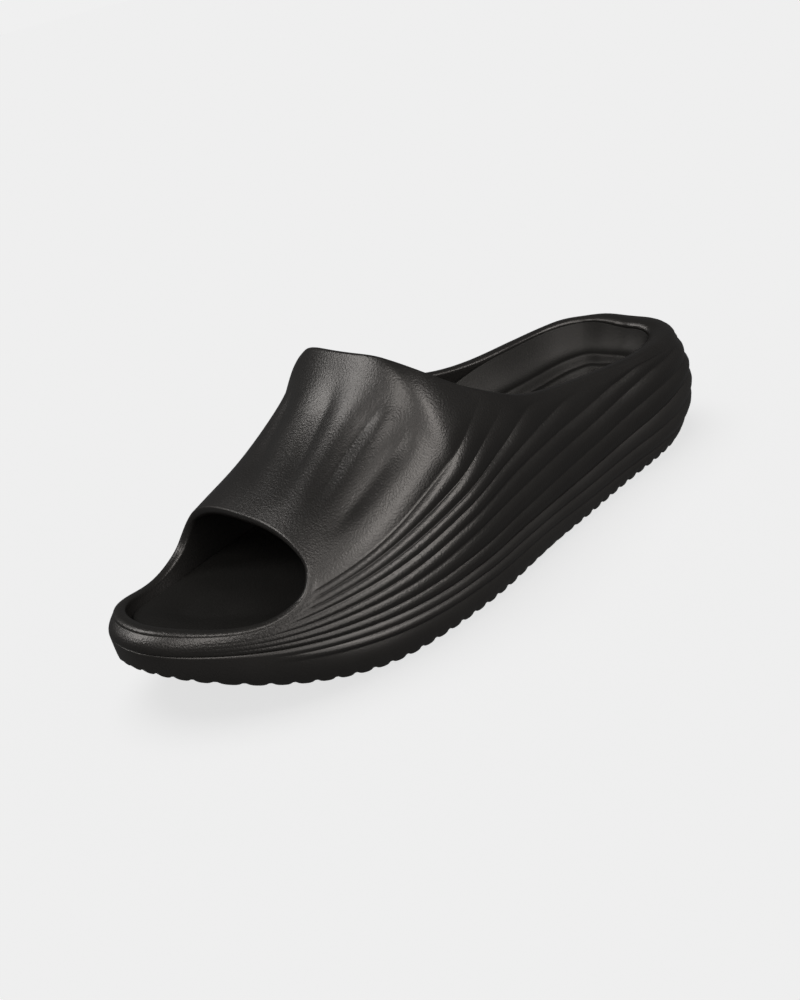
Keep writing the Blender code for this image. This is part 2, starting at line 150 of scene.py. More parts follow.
def end_cap(t):
    """Share of the half width that the round ends leave."""
    heel = np.clip(1 - t / HEEL_ROUND, 0, 1) ** HEEL_POWER
    toe = np.clip(1 - (1 - t) / TOE_ROUND, 0, 1) ** TOE_POWER
    return (1 - heel) ** (1 / HEEL_POWER) * (1 - toe) ** (1 / TOE_POWER)


def width_middle():
    """Middle of the shoe's whole width, seen from the last's own centre line."""
    t = station(np.linspace(0, 1, WIDTH_SAMPLES))
    reach = half_width(t) * end_cap(t)
    return ((shift(t) + reach).max() + (shift(t) - reach).min()) / 2


MIDDLE = width_middle()


def outline(q, side):
    """Plan outline at a place; side is -1 on the outer and 1 on the inner side of the foot."""
    t = station(q)
    across = shift(t) - MIDDLE + side * half_width(t) * end_cap(t)
    return np.stack([LENGTH * (0.5 - t), across], axis=-1)


def at_tips(q):
    """True at the very ends, where the outline turns round."""
    return (q <= 0) | (q >= 1)


def plan_normal(q, side):
    """Outward direction of the outline."""
    along = outline(np.clip(q + SLOPE_STEP, 0, 1), side) - outline(np.clip(q - SLOPE_STEP, 0, 1), side)
    along[..., 0] = np.where(at_tips(q), 0, along[..., 0])
    return unit(side * np.stack([along[..., 1], -along[..., 0]], axis=-1))


print("outline lies %.1f mm off the last's own centre line" % (MIDDLE / MM))

# %% [markdown]
# ## The arched top
# Over the parting line the last closes in an arch. Its section is a superellipse too: upright at the
# sides, flat over the instep. At the round ends the arch leans in along the outline's own direction,
# which makes the low bowl of the heel. The inner face of the wall lies one wall thickness inside. Round
# the heel that thickness is laid level, and behind it tips up a little, so that the bowl ends in a
# full, round roll.

# %% Arch, its outward direction and the wall's inner face
ARCH_POWER = 2.6
HEEL_TURN = (0.34, 0.12)
TOE_TURN = (0.81, 0.94)
WALL_FOOT = 9 * MM
WALL_LEVEL = (math.radians(35), math.radians(65))
HEEL_LEVEL = (0.25, 0.40)
HEEL_TIP = 0.28
HEEL_TIP_FADE = (0.10, 0.01)
HEEL_TIP_ANGLE = (math.radians(10), math.radians(45))
THIN_RIM = (0.01, 0.07)
THIN_RIM_END = (0.28, 0.12)
THINNER = 0.4
OUTER = -1
INNER = 1
CREST_STATION = 0.58
ANGLE_STEPS = 16


def lean(q, side):
    """Direction and depth in which the arch leans inwards from the outline."""
    t = station(q)
    turn = np.maximum(ramp(t, *HEEL_TURN), ramp(t, *TOE_TURN))
    direction = plan_normal(q, side)
    direction = unit(np.stack([direction[..., 0] * turn, direction[..., 1]], axis=-1))
    cap = end_cap(t)
    return direction, half_width(t) * (cap + (1 - cap) * turn)


def dome_height(t, side, angle):
    """Height of the arch, which is a little higher over the inner side's shoulder."""
    lift = inner_lift(t) * (side == INNER)
    arch = (ridge_height(t) - part_height(t)) * np.sin(angle)
    return part_height(t) + arch + lift * np.sin(2 * angle) ** 2


def dome_slope(t, side, angle):
    """How fast the arch climbs as the angle grows."""
    lift = inner_lift(t) * (side == INNER)
    return (ridge_height(t) - part_height(t)) * np.cos(angle) + 2 * lift * np.sin(4 * angle)


def dome(q, side, angle):
    """Outer surface of the last: angle 0 on the parting line, a quarter turn on the ridge."""
    t = station(q)
    direction, reach = lean(q, side)
    inset = reach * (1 - np.abs(np.cos(angle)) ** (2 / ARCH_POWER))
    height = dome_height(t, side, angle)
    plan = outline(q, side) - direction * inset[..., None]
    return np.concatenate([plan, height[..., None]], axis=-1)


def dome_normal(q, side, angle):
    """Outward direction of the arch."""
    t = station(q)
    ahead = dome(np.clip(q + SLOPE_STEP, 0, 1), side, angle)
    along = ahead - dome(np.clip(q - SLOPE_STEP, 0, 1), side, angle)
    along[..., ::2] = np.where(at_tips(q)[..., None], 0, along[..., ::2])
    direction, reach = lean(q, side)
    inward = reach * (2 / ARCH_POWER) * np.sin(angle)
    rise = dome_slope(t, side, angle) * np.abs(np.cos(angle)) ** (1 - 2 / ARCH_POWER)
    upward = np.concatenate([-direction * inward[..., None], rise[..., None]], axis=-1)
    return unit(side * np.cross(along, upward))


def wall_inside(q, side, angle, thickness):
    """Inner face of the wall: level inwards at sides and heel, square to the surface under the vamp."""
    inward = dome_normal(q, side, angle)
    t = station(q)
    inward[..., 2] *= ramp(angle, *WALL_LEVEL) * ramp(t, *HEEL_LEVEL)
    inward[..., 2] -= HEEL_TIP * ramp(t, *HEEL_TIP_FADE) * ramp(angle, *HEEL_TIP_ANGLE)
    return dome(q, side, angle) - unit(inward) * np.asarray(thickness)[..., None]


def collar_wall(t, side):
    """Thickness at the collar's rim, which is thinner by the heel on the inner side."""
    thinner = THINNER * ramp(t, *THIN_RIM) * ramp(t, *THIN_RIM_END)
    return rim_wall(t) * (1 - thinner * (side == INNER))


def dome_angle(t, side, height):
    """Angle at which the arch reaches a height, found by climbing along its slope."""
    angle = np.zeros_like(t)
    for _ in range(ANGLE_STEPS):
        angle = angle + (height - dome_height(t, side, angle)) / dome_slope(t, side, angle)
    return angle


crest = dome(np.array([place(CREST_STATION)]), INNER, np.array([math.pi / 2]))[0]
print("top of the instep: %.1f mm" % (crest[2] / MM))

# %% [markdown]
# ## Two openings
# The foot goes in at the collar and the toes look out in front. Both edges are short tables of station
# and height in millimetres, and each crosses the ridge of the last squarely. Cutting holes into a whole
# shell would leave ragged edges, so the wall is laid up to these edges instead.

# %% Edges of the openings
RIM_COLUMNS = ("station", "outer side", "inner side")
COLLAR_RIM = (
    (0.000, 43.0, 43.0),
    (0.030, 42.4, 46.9),
    (0.080, 43.6, 50.5),
    (0.130, 44.9, 51.3),
    (0.180, 46.4, 51.4),
    (0.280, 50.8, 51.8),
    (0.370, 56.0, 55.3),
    (0.420, 60.3, 60.6),
    (0.460, 65.9, 66.5),
    (0.500, 73.0, 73.6),
    (0.540, 81.8, 82.0),
    (0.567, 89.1, 89.3),
    (0.583, 93.6, 93.8),
    (0.590, "ridge", "ridge"),
)
TOE_RIM = (
    (0.799, "ridge", "ridge"),
    (0.803, 50.0, 51.0),
    (0.816, 42.0, 41.0),
    (0.845, 35.5, 33.0),
    (0.910, 32.0, 30.3),
    (1.000, 35.0, 35.0),
)
RIM_SAMPLES = 1200


def rim_column(side):
    """Number of the column that holds one side's heights."""
    return RIM_COLUMNS.index("outer side" if side == OUTER else "inner side")


def equal_steps(points, steps):
    """Sample numbers that split a sampled curve into steps of equal length."""
    lengths = np.linalg.norm(np.diff(points, axis=0), axis=1)
    run = np.concatenate([[0], np.cumsum(lengths)])
    return np.interp(np.linspace(0, run[-1], steps + 1), run, np.arange(len(points)))


def rim_points(rows, side, steps):
    """Places and angles that split an opening's edge into equal steps; it crosses the ridge squarely."""
    stations = [row[0] for row in rows]
    heights = [row[rim_column(side)] for row in rows]
    angles = []
    for t, height in zip(stations, heights):
        if height == "ridge":
            angles.append(math.pi / 2)
        else:
            angles.append(float(dome_angle(np.float64(t), side, height * MM)))
    number = np.arange(len(rows))
    at = np.linspace(0, len(rows) - 1, RIM_SAMPLES)
    q = place(through(number, stations, heights.index("ridge"))(at))
    angle = through(number, angles)(at)
    samples = equal_steps(dome(q, side, angle), steps)
    number = np.arange(RIM_SAMPLES)
    return np.interp(samples, number, q), np.interp(samples, number, angle)


print("collar edge: %d rows, toe edge: %d rows" % (len(COLLAR_RIM), len(TOE_RIM)))

# %% [markdown]
# ## Lines up the wall
# Between the two edges the wall is one sheet. It is measured out by lines that climb from the parting
# line to an edge or, over the vamp, to the ridge. Equal steps along the parting line and along the
# edges keep the faces even.

# %% Lines from the parting line to the edges
VAMP_FOOT = (0.61, 0.72)
COLLAR_STEPS = 84
VAMP_STEPS = 34
TOE_STEPS = 72


def outline_places(first, last, steps):
    """Places between two stations that split the outline into equal steps."""
    q = np.linspace(place(first), place(last), RIM_SAMPLES)
    return np.interp(equal_steps(outline(q, OUTER), steps), np.arange(len(q)), q)


def toe_feet(toe_q, steps):
    """Places on the parting line under the toe's rim, halfway between equal steps and the rim's own."""
    share = (station(toe_q) - TOE_RIM[0][0]) / (1 - TOE_RIM[0][0])
    under_rim = place(VAMP_FOOT[1] + (1 - VAMP_FOOT[1]) * share)
    return (outline_places(VAMP_FOOT[1], 1.0, steps) + under_rim) / 2


collar_foot = outline_places(0.0, VAMP_FOOT[0], COLLAR_STEPS)
vamp_foot = outline_places(*VAMP_FOOT, VAMP_STEPS)
vamp_q = place(np.linspace(COLLAR_RIM[-1][0], TOE_RIM[0][0], VAMP_STEPS + 1))
line_foot = {}
line_top = {}
line_angle = {}
for side in (OUTER, INNER):
    collar_q, collar_angle = rim_points(COLLAR_RIM, side, COLLAR_STEPS)
    toe_q, toe_angle = rim_points(TOE_RIM, side, TOE_STEPS)
    line_foot[side] = np.concatenate([collar_foot, vamp_foot[1:], toe_feet(toe_q, TOE_STEPS)[1:]])
    line_top[side] = np.concatenate([collar_q, vamp_q[1:], toe_q[1:]])
    line_angle[side] = np.concatenate([collar_angle, np.full(VAMP_STEPS, math.pi / 2), toe_angle[1:]])
LINES = len(line_foot[OUTER])


def up_line(number, side, share):
    """Place and angle at a share of the way up one line."""
    q = line_foot[side][number] + (line_top[side][number] - line_foot[side][number]) * share
    return q, line_angle[side][number] * share


print("lines up each side:", LINES)

# %% [markdown]
# ## The camera
# The picture is taken from the toe's outer side, a little above, and the camera is tipped so that the
# shoe runs up to the right. Its lens is given in pixels of the picture's height, which is how it was
# measured.

# %% Camera
IMAGE_HEIGHT_PX = 1000
FOCAL_PX = 1230
SENSOR_MM = 36
EYE = Vector((-274.3, -369.2, 230.6)) * MM
VIEW_AZIMUTH = 34.9
VIEW_ELEVATION = 24.3
VIEW_ROLL = -15.3


def add_camera():
    """The camera at the eye's place, turned by the three angles, which are in degrees."""
    a, e, g = (math.radians(v) for v in (VIEW_AZIMUTH, VIEW_ELEVATION, VIEW_ROLL))
    back = Vector((-math.sin(a) * math.cos(e), -math.cos(a) * math.cos(e), math.sin(e)))
    level = Vector((math.cos(a), -math.sin(a), 0))
    upright = back.cross(level)
    right = level * math.cos(g) + upright * math.sin(g)
    up = upright * math.cos(g) - level * math.sin(g)
    bpy.ops.object.camera_add()
    camera = bpy.context.object
    camera.matrix_world = Matrix((right, up, back)).transposed().to_4x4()
    camera.location = EYE
    camera.data.sensor_width = SENSOR_MM
    camera.data.lens = FOCAL_PX / IMAGE_HEIGHT_PX * SENSOR_MM
    camera.data.clip_start = 1 * MM
    bpy.context.scene.camera = camera
    return camera


camera = add_camera()
print("camera height: %.0f mm" % (camera.location.z / MM))

# %% [markdown]
# ## Floor and light
# Soft boxes give the highlights. One stands behind the toe's inner side and lights the crest, one
# stands by the outer side and lights the shoulder, one hangs over the toe, and a faint one from above
# fills the gap between them. A wide, low wash lifts the ribs and the sole. The floor has a lamp of its
# own from behind, so that only a short soft shadow shows in front. Black foam on a bright floor would
# look washed out, so bounced light doesn't see the floor.

# %% Floor and lights
PALE = 0.871
AMBIENT = 0.08
FLOOR_SIZE = 400
FLOOR_GREY = 0.5
FLOOR_GLOW = 0.722
# Name, azimuth and elevation in degrees, strength, and spread in degrees
SHOE_LIGHTS = (
    ("back_box", 124, 41, 1.0, 24),
    ("side_box", 286, 40, 1.4, 28),
    ("toe_box", 197, 53, 1.15, 28),
    ("top_box", 254, 56, 0.28, 30),
    ("front_wash", 256, 14, 1.4, 50),
)
FLOOR_LIGHT = ("floor_box", 80, 76, 0.65, 50)


def add_soft_light(name, azimuth, elevation, strength, spread, lit):
    """A distant soft box, with angles in degrees, that lights the pieces in the collection lit."""
    a, e = math.radians(azimuth), math.radians(elevation)
    direction = Vector((math.cos(a) * math.cos(e), math.sin(a) * math.cos(e), math.sin(e)))
    bpy.ops.object.light_add(type="SUN", location=direction)
    lamp = bpy.context.object
    lamp.name = name
    lamp.rotation_euler = direction.to_track_quat("Z", "Y").to_euler()
    lamp.data.energy = strength
    lamp.data.angle = math.radians(spread)
    lamp.light_linking.receiver_collection = lit
    return lamp


def add_floor():
    """A pale floor that glows a little and that bounced light doesn't see."""
    bpy.ops.mesh.primitive_plane_add(size=FLOOR_SIZE)
    floor = bpy.context.object
    floor.name = "floor"
    material = bpy.data.materials.new("pale_floor")
    material.use_nodes = True
    shader = material.node_tree.nodes["Principled BSDF"]
    shader.inputs["Base Color"].default_value = (FLOOR_GREY, FLOOR_GREY, FLOOR_GREY, 1)
    shader.inputs["Roughness"].default_value = 0.9
    shader.inputs["Specular IOR Level"].default_value = 0
    shader.inputs["Emission Color"].default_value = (1, 1, 1, 1)
    shader.inputs["Emission Strength"].default_value = FLOOR_GLOW
    floor.data.materials.append(material)
    floor.visible_glossy = False
    floor.visible_diffuse = False
    return floor


floor = add_floor()
shoe_lit = bpy.data.collections.new("shoe_lit")
floor_lit = bpy.data.collections.new("floor_lit")
floor_lit.objects.link(floor)
for row in SHOE_LIGHTS:
    add_soft_light(*row, shoe_lit)
add_soft_light(*FLOOR_LIGHT, floor_lit)
print("lights on the shoe:", len(SHOE_LIGHTS))

# %% [markdown]
# ## The room
# The camera sees a pale backdrop, and the shoe sees a dim one. Otherwise the backdrop would light the
# black foam from all sides and take away its highlights.

# %% Backdrop
world = bpy.data.worlds.new("studio")
world.use_nodes = True
world_nodes = world.node_tree.nodes
backdrop = world_nodes["Background"]
backdrop.inputs["Color"].default_value = (1, 1, 1, 1)
seen = world_nodes.new("ShaderNodeLightPath")
level = world_nodes.new("ShaderNodeMapRange")
level.inputs["To Min"].default_value = AMBIENT
level.inputs["To Max"].default_value = PALE
world.node_tree.links.new(seen.outputs["Is Camera Ray"], level.inputs["Value"])
world.node_tree.links.new(level.outputs["Result"], backdrop.inputs["Strength"])
bpy.context.scene.world = world
bpy.context.scene.view_settings.view_transform = "Standard"
print("backdrop: %.3f for the camera, %.3f for the shoe" % (PALE, AMBIENT))

# %% [markdown]
# ## Laying sheets
# A moulded wall has no flat stretch to extrude. So each face starts as a grid primitive whose rows and
# columns are laid on the last. The sheets are then joined and welded along their shared edges, as a
# pattern cutter lays and closes panels.

# %% Helpers for laid sheets
WELD = 0.004 * MM


def laid_grid(points):
    """A grid primitive with its corners laid on points[row, column]."""
    rows, columns = points.shape[:2]
    bpy.ops.object.select_all(action="DESELECT")
    bpy.ops.mesh.primitive_grid_add(x_subdivisions=columns - 1, y_subdivisions=rows - 1, size=1)
    sheet = bpy.context.object
    sheet.data.vertices.foreach_set("co", points.astype(np.float32).ravel())
    sheet.data.update()
    return sheet


def welded(name, sheets):
    """Joins sheets into one closed piece with smooth faces that point outwards."""
    bpy.ops.object.select_all(action="DESELECT")
    for sheet in sheets:
        sheet.select_set(True)
    bpy.context.view_layer.objects.active = sheets[0]
    bpy.ops.object.join()
    piece = bpy.context.object
    piece.name = name
    piece.data.name = name
    bpy.ops.object.mode_set(mode="EDIT")
    bpy.ops.mesh.select_all(action="SELECT")
    bpy.ops.mesh.remove_doubles(threshold=WELD)
    bpy.ops.mesh.dissolve_degenerate(threshold=WELD)
    bpy.ops.mesh.normals_make_consistent(inside=False)
    bpy.ops.object.mode_set(mode="OBJECT")
    bpy.ops.object.shade_smooth()
    edges_open = sum(1 for use in edge_uses(piece) if use != 2)
    print(name, len(piece.data.polygons), "faces, open edges:", edges_open)
    return piece


def edge_uses(piece):
    """How many faces meet at each edge."""
    uses = np.zeros(len(piece.data.edges), int)
    numbers = np.zeros(len(piece.data.loops), int)
    piece.data.loops.foreach_get("edge_index", numbers)
    np.add.at(uses, numbers, 1)
    return uses


print("sheets weld within %.3f mm" % (WELD / MM))

# %% [markdown]
# ## Creases of the vamp
# Soft creases run over the vamp and fade out towards both openings. Each is a line at shares of the
# half width, negative on the outer side of the foot, and the foam between two of them swells into a low
# rounded ridge. The first and last lines have no depth: they only end the outermost ridges.

# %% Depth of the creases
CREASE_STATIONS = (0.60, 0.64, 0.68, 0.72, 0.76)
CREASES = (
    (0.87, 0.87, 0.87, 0.87, 0.87),
    (0.71, 0.68, 0.67, 0.68, 0.70),
    (0.44, 0.41, 0.36, 0.29, 0.22),
    (-0.06, -0.06, -0.08, -0.13, -0.20),
    (-0.54, -0.45, -0.425, -0.445, -0.47),
    (-0.71, -0.68, -0.67, -0.68, -0.70),
    (-0.87, -0.87, -0.87, -0.87, -0.87),
)
CREASE_DEPTHS = (0.0, 0.9 * MM, 1.2 * MM, 1.1 * MM, 1.3 * MM, 1.1 * MM, 0.0)
CREASE_ROUND = 0.22
CREASE_START = (0.600, 0.650)
CREASE_END = (0.785, 0.705)
crease_curves = [through(CREASE_STATIONS, shares) for shares in CREASES]


def crease_depth(t, side, angle):
    """Depth of the vamp's creases, each with a ridge on both sides."""
    share = side * np.abs(np.cos(angle)) ** (2 / ARCH_POWER)
    depth = np.zeros_like(share)
    for number in range(len(CREASES) - 1):
        inner = crease_curves[number](t)
        outer = crease_curves[number + 1](t)
        u = np.clip((share - inner) / (outer - inner), 0, 1)
        deep = np.where(u < 0.5, CREASE_DEPTHS[number], CREASE_DEPTHS[number + 1])
        ridge = np.sqrt(np.sin(math.pi * u) ** 2 + CREASE_ROUND ** 2)
        inside = (share < inner) & (share >= outer)
        depth += np.where(inside, deep * np.clip(1 - ridge, 0, 1) / (1 - CREASE_ROUND), 0)
    return depth * ramp(t, *CREASE_START) * ramp(t, *CREASE_END)


print("deepest crease: %.1f mm" % (max(CREASE_DEPTHS) / MM))

# %% [markdown]
# ## Ribs of the side
# Ribs run along the side: close and fine at the toe, wide and rounded at the heel. Their valleys are
# rows of a table of heights in millimetres, and the mesh has a row in every valley, so each valley
# stays crisp. A texture could fake them, but the heel's outline shows their steps. The upper valleys
# start one after another: a pair of stations says where a valley begins and where it is fully deep.
# Pairs below 0 are deep from the heel on.

# %% Ribs and the outer face
RIB_STATIONS = (0.00, 0.15, 0.30, 0.40, 0.50, 0.60, 0.70, 0.80, 0.90, 1.00)
RIB_VALLEYS = (
    (33.0, 31.5, 27.5, 26.0, 24.8, 23.2, 22.5, 23.6, 26.5, 31.0),
    (41.5, 40.2, 35.8, 34.3, 32.7, 30.2, 27.5, 27.1, 28.2, 32.0),
    (47.0, 46.0, 42.7, 41.5, 39.7, 35.5, 31.3, 29.6, 29.8, 33.0),
    (56.0, 54.5, 52.0, 48.8, 45.2, 40.0, 35.3, 32.7, 31.3, 34.0),
    (66.0, 64.0, 62.0, 58.6, 51.2, 44.3, 38.8, 35.0, 32.8, 35.0),
    (76.0, 74.0, 72.0, 68.5, 60.0, 49.8, 42.6, 37.5, 34.3, 36.0),
    (86.0, 84.0, 82.0, 79.0, 69.5, 57.0, 46.3, 39.8, 35.8, 37.0),
)
PARTING_START = (-0.20, -0.10)
RIB_STARTS = (
    (-0.20, -0.10),
    (-0.20, -0.10),
    (-0.10, 0.12),
    (0.30, 0.42),
    (0.37, 0.50),
    (0.45, 0.59),
    (0.48, 0.63),
)
RIB_DEPTH = 1.1 * MM
RIB_PITCH_SHARE = 0.18
RIB_POWER = 1.7
RIB_FADE = (0.985, 0.80)
RIB_RIM_FADE = (0.5 * MM, 4 * MM)
RIB_LEAST = 0.5 * MM
RIM_SQUEEZE = 0.3 * MM
RIB_ROWS = 8
SHOULDER_RUN = 7 * MM
CREST_ROWS = 60
PATH_SAMPLES = 240
rib_curves = [through(RIB_STATIONS, heights) for heights in RIB_VALLEYS]


def valley_runs(points, t, run):
    """How far up one line each valley lies, from the parting line on; none comes too near the rim."""
    valleys = [0.0]
    for number, curve in enumerate(rib_curves):
        over = points[:, 2] - curve(t) * MM
        crossed = np.interp(0, over, run) if over[-1] > 0 else run[-1]
        room = run[-1] - (len(rib_curves) - number) * RIM_SQUEEZE
        valleys.append(max(min(crossed, room), valleys[-1] + RIB_LEAST))
    return valleys


def relief_rows(number, side):
    """Points of one line of the outer face, from the parting line to its top."""
    share = np.linspace(0, 1, PATH_SAMPLES)
    q, angle = up_line(number, side, share)
    path = dome(q, side, angle)
    run = np.concatenate([[0], np.cumsum(np.linalg.norm(np.diff(path, axis=0), axis=1))])
    valleys = valley_runs(path, station(q), run)
    steps = (1 - np.cos(np.linspace(0, math.pi, RIB_ROWS + 1)[:-1])) / 2
    rows = []
    deep = []
    starts = (PARTING_START,) + RIB_STARTS
    for rib in range(len(valleys) - 1):
        gap = valleys[rib + 1] - valleys[rib]
        at = valleys[rib] + gap * steps
        t = station(up_line(number, side, np.interp(at, run, share))[0])
        near = np.where(steps < 0.5, ramp(t, *starts[rib]), ramp(t, *starts[rib + 1]))
        rows.append(at)
        deep.append(min(RIB_DEPTH, RIB_PITCH_SHARE * gap) * near * np.abs(2 * steps - 1) ** RIB_POWER)
    above = np.linspace(valleys[-1], run[-1], CREST_ROWS + 1)
    t = station(up_line(number, side, np.interp(above, run, share))[0])
    last_rib = min(RIB_DEPTH, RIB_PITCH_SHARE * gap) * ramp(t, *starts[-1])
    rows.append(above)
    deep.append(last_rib * np.clip(1 - (above - above[0]) / SHOULDER_RUN, 0, 1) ** 2)
    rows = np.concatenate(rows)
    q, angle = up_line(number, side, np.interp(rows, run, share))
    t = station(q)
    at_rim = ramp(run[-1] - rows, *RIB_RIM_FADE) if line_angle[side][number] < math.pi / 2 else 1.0
    fade = ramp(t, *RIB_FADE) * at_rim
    depth = np.concatenate(deep) * fade + crease_depth(t, side, angle)
    depth[0] = RIB_DEPTH
    return dome(q, side, angle) - dome_normal(q, side, angle) * depth[:, None]


print("rows up each line:", len(RIB_VALLEYS) * RIB_ROWS + CREST_ROWS + 1)

# %% [markdown]
# ## The upper
# Outer face, inner face, the strip under the wall and the two half-round rims make one hollow piece, as
# the mould does. The rims are swept round the middle of the wall, so that their roundness follows its
# thickness.

# %% Build the upper
INNER_ROWS = 24
ROUND_ROWS = 10
RIM_BULGE = 0.6


def inner_rows(number, side):
    """Points of one line of the inner face, where the wall changes in thickness up to the rim."""
    share = np.linspace(0, 1, INNER_ROWS + 1)
    q, angle = up_line(number, side, share)
    rim = collar_wall(station(line_top[side][number]), side)
    return wall_inside(q, side, angle, WALL_FOOT + (rim - WALL_FOOT) * share)


def round_rim(outer, inner):
    """Half-round strip from the outer to the inner face around an opening."""
    middle = (outer + inner) / 2
    along = np.roll(middle, -1, axis=0) - np.roll(middle, 1, axis=0)
    outward = (outer - inner) / 2
    bulge = unit(np.cross(outward, along)) * np.linalg.norm(outward, axis=1)[:, None] * RIM_BULGE
    if np.sum(bulge * (middle.mean(axis=0) - middle)) < 0:
        bulge = -bulge
    turns = np.linspace(0, math.pi, ROUND_ROWS + 1)
    strip = np.array([middle + outward * math.cos(turn) + bulge * math.sin(turn) for turn in turns])
    return np.concatenate([strip, strip[:, :1]], axis=1)


def around(sheets, first, last):
    """Top points once around an opening: along the outer side of the foot and back along the inner side."""
    there = sheets[OUTER][-1, first:last + 1]
    back = sheets[INNER][-1, first + 1:last]
    return np.concatenate([there, back[::-1]])


outer_faces = {}
inner_faces = {}
for side in (OUTER, INNER):
    outer_faces[side] = np.stack([relief_rows(number, side) for number in range(LINES)], axis=1)
    inner_faces[side] = np.stack([inner_rows(number, side) for number in range(LINES)], axis=1)
upper_sheets = []
for side in (OUTER, INNER):
    upper_sheets.append(laid_grid(outer_faces[side]))
    upper_sheets.append(laid_grid(inner_faces[side]))
    upper_sheets.append(laid_grid(np.stack([outer_faces[side][0], inner_faces[side][0]])))
for first, last in ((0, COLLAR_STEPS), (COLLAR_STEPS + VAMP_STEPS, LINES - 1)):
    strip = round_rim(around(outer_faces, first, last), around(inner_faces, first, last))
    upper_sheets.append(laid_grid(strip))
upper = welded("moulded_upper", upper_sheets)

# %% [markdown]
# ## The tread
# The tread lies flat under heel and forefoot, and bars cross it. They could be cut one by one, but a
# single depth along the sole gives every bar and groove. Round the toe the bars are counted along the
# outline, because they follow it there.

# %% Underside and bars
HEEL_LIFT = 12 * MM
TOE_SPRING = 22 * MM
ARCH_LIFT = 1.0 * MM
HEEL_FLAT = (0.13, 0.34)
FOREFOOT_FLAT = (0.56, 0.715)
TOE_SPRING_POWER = 2.0
BAR_PITCH = 6.6 * MM
BAR_DEPTH = 1.3 * MM
BAR_RANGE = (0.045, 0.955)
BAR_FADE = (0.05, 0.12)
BAR_GROOVE = 0.81
BAR_POWER = 3
BAR_ARCH_LOSS = 0.75
BARS = round((BAR_RANGE[1] - BAR_RANGE[0]) * LENGTH / BAR_PITCH)
TOE_BARS = 5.3


def underside(t):
    """Height of the tread: flat at heel and forefoot, lifted at the heel's end, the arch and the toe."""
    heel = np.clip((HEEL_FLAT[0] - t) / HEEL_FLAT[0], 0, 1) ** 2
    arch = np.clip((t - HEEL_FLAT[1]) / (FOREFOOT_FLAT[0] - HEEL_FLAT[1]), 0, 1)
    toe = np.clip((t - FOREFOOT_FLAT[1]) / (1 - FOREFOOT_FLAT[1]), 0, 1) ** TOE_SPRING_POWER
    return HEEL_LIFT * heel + ARCH_LIFT * np.sin(math.pi * arch) ** 2 + TOE_SPRING * toe


def grooves(t):
    """Depth of the grooves between the tread's bars."""
    share = (np.minimum(t, BAR_RANGE[1]) - BAR_RANGE[0]) / (BAR_RANGE[1] - BAR_RANGE[0])
    phase = share * BARS - BAR_GROOVE
    toe_start = place(BAR_RANGE[1])
    phase += TOE_BARS * np.clip((place(t) - toe_start) / (1 - toe_start), 0, 1)
    depth = BAR_DEPTH * np.abs(2 * (phase % 1) - 1) ** BAR_POWER
    in_arch = (t > HEEL_FLAT[1]) & (t < FOREFOOT_FLAT[0])
    depth *= 1 - BAR_ARCH_LOSS * in_arch * underside(t) / ARCH_LIFT
    return depth * ramp(t, *BAR_FADE)


print("bars across the tread:", BARS)

# %% [markdown]
# ## The sole
# Three rounded bands run round the side of the sole. Where the bars reach the edge, they show as a row
# of scallops. The sole is laid in columns close enough to give every bar a round end, and a seat keeps
# it clear of the upper.

# %% Build the sole
BAND_DEPTH = 1.2 * MM
BAND_POWER = 1.9
BAND_FADE = (0.90, 0.76)
UPPER_BAND = (0.60, 0.27)
LOWER_BAND = (0.18, 0.58)
EDGE_POWER = 3
SCALLOP_RISE = 0.32
BAR_COLUMNS = 8
SOLE_END_COLUMNS = 42
BAND_ROWS = 8
TREAD_ROWS = 10
FLAT_ROWS = 2
SEAT = 0.1 * MM


def sole_columns():
    """Stations of the columns, which crowd round the ends."""
    ends = station(np.linspace(0, place(BAR_RANGE[0]), SOLE_END_COLUMNS + 1)[:-1])
    middle = np.linspace(*BAR_RANGE, BARS * BAR_COLUMNS + 1)
    return np.concatenate([ends, middle, 1 - ends[::-1]])


def sole_side(t, side):
    """Rows of the sole's side from the parting line down over its bands to the edge of the tread."""
    q = place(t)
    floor_height = underside(t)
    top = part_height(t) - SEAT
    fade = ramp(t, *BAND_FADE)
    upper_valley = UPPER_BAND[0] + UPPER_BAND[1] * t
    lower_valley = LOWER_BAND[0] + LOWER_BAND[1] * t
    ends = (np.ones_like(t), upper_valley, lower_valley, np.zeros_like(t))
    valley_depth = (np.full_like(t, BAND_DEPTH), BAND_DEPTH * fade, BAND_DEPTH * fade, np.zeros_like(t))
    edge = outline(q, side)
    normal = plan_normal(q, side)
    groove = grooves(t)
    steps = (1 - np.cos(np.linspace(0, math.pi, BAND_ROWS + 1))) / 2
    rows = []
    bands = len(ends) - 1
    for band in range(bands):
        for u in steps[:-1] if band < bands - 1 else steps:
            share = ends[band] + (ends[band + 1] - ends[band]) * u
            bulge = abs(2 * u - 1) ** BAND_POWER
            depth = bulge * (valley_depth[band] if u < 0.5 else valley_depth[band + 1])
            inset = edge_round(t) * (1 - share) ** EDGE_POWER + depth
            low = np.clip(1 - share / SCALLOP_RISE, 0, 1) ** 2
            height = floor_height + (top - floor_height) * share + groove * low
            rows.append(np.concatenate([edge - normal * inset[:, None], height[:, None]], axis=1))
    return np.array(rows)


def across(left, right, steps):
    """Rows that lead straight from one line of points to another."""
    share = np.linspace(0, 1, steps + 1)[:, None, None]
    return left + (right - left) * share


sole_t = sole_columns()
outer_side = sole_side(sole_t, OUTER)
inner_side = sole_side(sole_t, INNER)
sole_sheets = [
    laid_grid(outer_side),
    laid_grid(inner_side),
    laid_grid(across(outer_side[0], inner_side[0], FLAT_ROWS)),
    laid_grid(across(outer_side[-1], inner_side[-1], TREAD_ROWS)),
]
sole = welded("banded_sole", sole_sheets)

